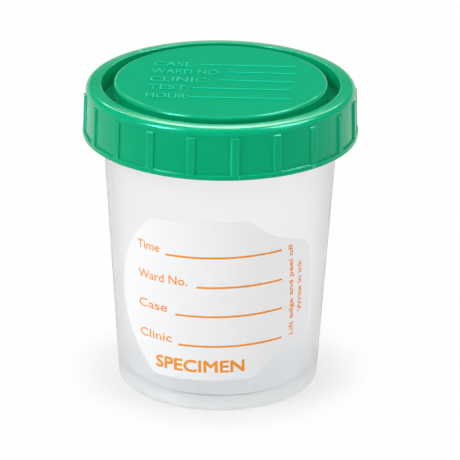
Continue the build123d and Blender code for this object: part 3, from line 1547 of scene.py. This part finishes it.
@dataclass
class Studio:
    """Plain pale floor, white surround, soft lights and the camera.

    Attributes:
        softboxes: The lights.
        target: Point that the lights face, in metres.
        fill: Strength of the surround for the light that it gives.
        zenith: Strength of the surround in reflections, high above the horizon.
        climb: Heights, from 0 to 1, between which the surround goes from white to that.
        shadow_reach: Distances from the axis over which the shadow and the painted shade round the
            container fade, in metres.
        shadow_clear: Share of plain white on the floor at each of them; the lower share near the
            container paints shade there, on top of the real shadow.
        lens: Focal length, in mm.
        sensor: Width of the sensor, in mm.
        distance: Distance from the camera to the point at target_height, in metres.
        rise: Angle of the camera above that point, in radians.
        target_height: Height of that point, in metres.
        yaw: Turn of the camera to the right of it, in radians.
        pitch: Tilt of the camera downwards, in radians.
        roll: Lean of the camera, in radians.
    """

    softboxes: tuple[Softbox, ...] = (
        Softbox("key_left", (-0.95, -0.55, 0.95), 0.6, 0.6, 11.9),
        Softbox("key_right", (1.0, -0.45, 0.95), 0.6, 0.6, 5.9),
        Softbox("top", (0.0, 0.35, 1.2), 0.9, 0.9, 4.5),
        Softbox("shine_left", (-0.85, -0.5, 1.0), 0.35, 0.7, 34.0, shine=True),
        Softbox("shine_right", (0.66, 0.18, 1.2), 0.5, 0.5, 26.0, shine=True),
        Softbox("shine_back", (0.0, 1.2, 0.87), 0.9, 0.09, 4.0, shine=True),
    )
    target: tuple[float, float, float] = (0.0, 0.0, 0.05)
    fill: float = 0.5
    zenith: float = 0.06
    climb: tuple[float, float] = (0.12, 0.3)
    shadow_reach: tuple[float, float] = (0.0245, 0.039)
    shadow_clear: tuple[float, float] = (0.66, 0.97)
    lens: float = 266.16
    sensor: float = 36.0
    distance: float = 0.8175
    rise: float = 0.3858
    target_height: float = 0.040
    yaw: float = 0.0034
    pitch: float = 0.3893
    roll: float = 0.0116

    def floor(self) -> None:
        """Lays the floor, which shows white, keeps the soft shadow and has painted shade close to the
        container.
        """
        half = 3.0
        mesh = bpy.data.meshes.new("floor")
        mesh.from_pydata(
            [(-half, -half, 0), (half, -half, 0), (half, half, 0), (-half, half, 0)],
            [],
            [(0, 1, 2, 3)],
        )
        floor = bpy.data.objects.new("floor", mesh)
        bpy.context.scene.collection.objects.link(floor)
        made = bpy.data.materials.new("floor_pale")
        made.use_nodes = True
        nodes, links = made.node_tree.nodes, made.node_tree.links
        nodes.clear()
        matte = nodes.new("ShaderNodeBsdfDiffuse")
        matte.inputs["Color"].default_value = (0.66, 0.66, 0.67, 1.0)
        glow = nodes.new("ShaderNodeEmission")
        glow.inputs["Color"].default_value = (1.0, 1.0, 1.0, 1.0)
        glow.inputs["Strength"].default_value = 1.0
        blend = nodes.new("ShaderNodeMixShader")
        share = nodes.new("ShaderNodeMath")
        share.operation = "MULTIPLY"
        links.new(self.white_share_with_painted_shade(nodes, links), share.inputs[1])
        links.new(seen_directly(nodes, links), share.inputs[0])
        links.new(share.outputs[0], blend.inputs["Fac"])
        links.new(matte.outputs["BSDF"], blend.inputs[1])
        links.new(glow.outputs["Emission"], blend.inputs[2])
        out = nodes.new("ShaderNodeOutputMaterial")
        links.new(blend.outputs["Shader"], out.inputs["Surface"])
        mesh.materials.append(made)

    def white_share_with_painted_shade(self, nodes: bpy.types.Nodes, links: bpy.types.NodeLinks) -> bpy.types.NodeSocket:
        """Gives how white the floor shows: less close to the container, where its shadow lies and where
        the grey matte paints extra shade.

        Args:
            nodes: Nodes of the floor's material.
            links: Links of the floor's material.

        Returns:
            The socket with the share of plain white.
        """
        place = nodes.new("ShaderNodeTexCoord")
        away = nodes.new("ShaderNodeVectorMath")
        away.operation = "LENGTH"
        links.new(place.outputs["Object"], away.inputs[0])
        # Painted shade: the floor turns greyer close to the container, on top of its real shadow.
        share = nodes.new("ShaderNodeMapRange")
        share.interpolation_type = "SMOOTHSTEP"
        share.inputs["From Min"].default_value = self.shadow_reach[0]
        share.inputs["From Max"].default_value = self.shadow_reach[1]
        share.inputs["To Min"].default_value = self.shadow_clear[0]
        share.inputs["To Max"].default_value = self.shadow_clear[1]
        links.new(away.outputs["Value"], share.inputs["Value"])
        return share.outputs["Result"]

    def surround(self) -> None:
        """Makes the surround: white where it is seen, plain fill light elsewhere."""
        world = bpy.data.worlds.new("surround")
        bpy.context.scene.world = world
        world.use_nodes = True
        nodes, links = world.node_tree.nodes, world.node_tree.links
        nodes.clear()
        place = nodes.new("ShaderNodeTexCoord")
        parts = nodes.new("ShaderNodeSeparateXYZ")
        links.new(place.outputs["Generated"], parts.inputs["Vector"])
        climb = nodes.new("ShaderNodeMapRange")
        climb.inputs["From Min"].default_value = self.climb[0]
        climb.inputs["From Max"].default_value = self.climb[1]
        climb.inputs["To Min"].default_value = 1.0
        climb.inputs["To Max"].default_value = self.zenith
        links.new(parts.outputs["Z"], climb.inputs["Value"])
        path = nodes.new("ShaderNodeLightPath")
        clear = nodes.new("ShaderNodeMath")
        clear.operation = "MAXIMUM"
        links.new(path.outputs["Is Camera Ray"], clear.inputs[0])
        links.new(path.outputs["Is Transmission Ray"], clear.inputs[1])
        bright = nodes.new("ShaderNodeMath")
        bright.operation = "MAXIMUM"
        links.new(clear.outputs[0], bright.inputs[0])
        links.new(climb.outputs["Result"], bright.inputs[1])
        seen = nodes.new("ShaderNodeBackground")
        seen.inputs["Color"].default_value = (1.0, 1.0, 1.0, 1.0)
        links.new(bright.outputs[0], seen.inputs["Strength"])
        lit = nodes.new("ShaderNodeBackground")
        lit.inputs["Color"].default_value = (1.0, 1.0, 1.0, 1.0)
        lit.inputs["Strength"].default_value = self.fill
        blend = nodes.new("ShaderNodeMixShader")
        links.new(seen_directly(nodes, links), blend.inputs["Fac"])
        links.new(lit.outputs["Background"], blend.inputs[1])
        links.new(seen.outputs["Background"], blend.inputs[2])
        out = nodes.new("ShaderNodeOutputWorld")
        links.new(blend.outputs["Shader"], out.inputs["Surface"])

    def lights(self) -> None:
        """Sets up the softboxes."""
        for softbox in self.softboxes:
            light = bpy.data.lights.new(softbox.name, type="AREA")
            light.shape = "RECTANGLE"
            light.size = softbox.width
            light.size_y = softbox.depth
            light.energy = softbox.power
            holder = bpy.data.objects.new(softbox.name, light)
            holder.location = softbox.place
            aim = Vector(self.target) - Vector(softbox.place)
            holder.rotation_mode = "QUATERNION"
            holder.rotation_quaternion = aim.to_track_quat("-Z", "Y")
            holder.visible_camera = False
            if softbox.shine:
                holder.visible_diffuse = False
                holder.visible_transmission = False
            bpy.context.scene.collection.objects.link(holder)

    def camera(self) -> None:
        """Sets the camera above the container's front, looking slightly down."""
        place = Vector((
            0,
            -self.distance * math.cos(self.rise),
            self.target_height + self.distance * math.sin(self.rise),
        ))
        ahead = Vector((
            math.sin(self.yaw) * math.cos(self.pitch),
            math.cos(self.yaw) * math.cos(self.pitch),
            -math.sin(self.pitch),
        ))
        level = ahead.cross(Vector((0, 0, 1))).normalized()
        above = level.cross(ahead)
        right = level * math.cos(self.roll) + above * math.sin(self.roll)
        up = above * math.cos(self.roll) - level * math.sin(self.roll)
        turn = Matrix((right, up, -ahead)).transposed().to_4x4()
        data = bpy.data.cameras.new("camera")
        data.sensor_width = self.sensor
        data.lens = self.lens
        data.clip_start = 0.05
        data.clip_end = 20.0
        camera = bpy.data.objects.new("camera", data)
        camera.matrix_world = Matrix.Translation(place) @ turn
        bpy.context.scene.collection.objects.link(camera)
        bpy.context.scene.camera = camera

    def build(self) -> None:
        """Builds the whole studio."""
        self.floor()
        self.surround()
        self.lights()
        self.camera()
        bpy.context.scene.view_settings.view_transform = "Standard"


def seen_directly(nodes: bpy.types.Nodes, links: bpy.types.NodeLinks) -> bpy.types.NodeSocket:
    """Gives 1 for camera, glossy and transmission rays, and 0 for the rest.

    Args:
        nodes: Nodes of the material or world.
        links: Links of the material or world.

    Returns:
        The socket with the result.
    """
    path = nodes.new("ShaderNodeLightPath")
    shiny = nodes.new("ShaderNodeMath")
    shiny.operation = "MAXIMUM"
    links.new(path.outputs["Is Camera Ray"], shiny.inputs[0])
    links.new(path.outputs["Is Glossy Ray"], shiny.inputs[1])
    through = nodes.new("ShaderNodeMath")
    through.operation = "MAXIMUM"
    links.new(shiny.outputs[0], through.inputs[0])
    links.new(path.outputs["Is Transmission Ray"], through.inputs[1])
    return through.outputs[0]


def report(pieces: Sequence[bpy.types.Object]) -> None:
    """Logs the size of each piece.

    Args:
        pieces: The objects to report.

    Returns:
        None.
    """
    for piece in pieces:
        count = sum(len(polygon.vertices) - 2 for polygon in piece.data.polygons)
        LOG.info("%s: %d triangles", piece.name, count)


def main() -> None:
    """Builds the container and the studio."""
    logging.basicConfig(level=logging.INFO, format="%(message)s")
    assemblies = (
        Cup(finish=CUP_FROST),
        Lid(gloss=LID_GLOSS, satin=LID_SATIN),
        Captions(finish=LID_RAISED_PAINTED_LIGHT),
        Label(paper=LABEL_PAPER, ink=ORANGE_INK),
    )
    for assembly in assemblies:
        assembly.mesh()
        assembly.dress()
        report(assembly.pieces)
    Studio().build()


if __name__ == "__main__":
    main()
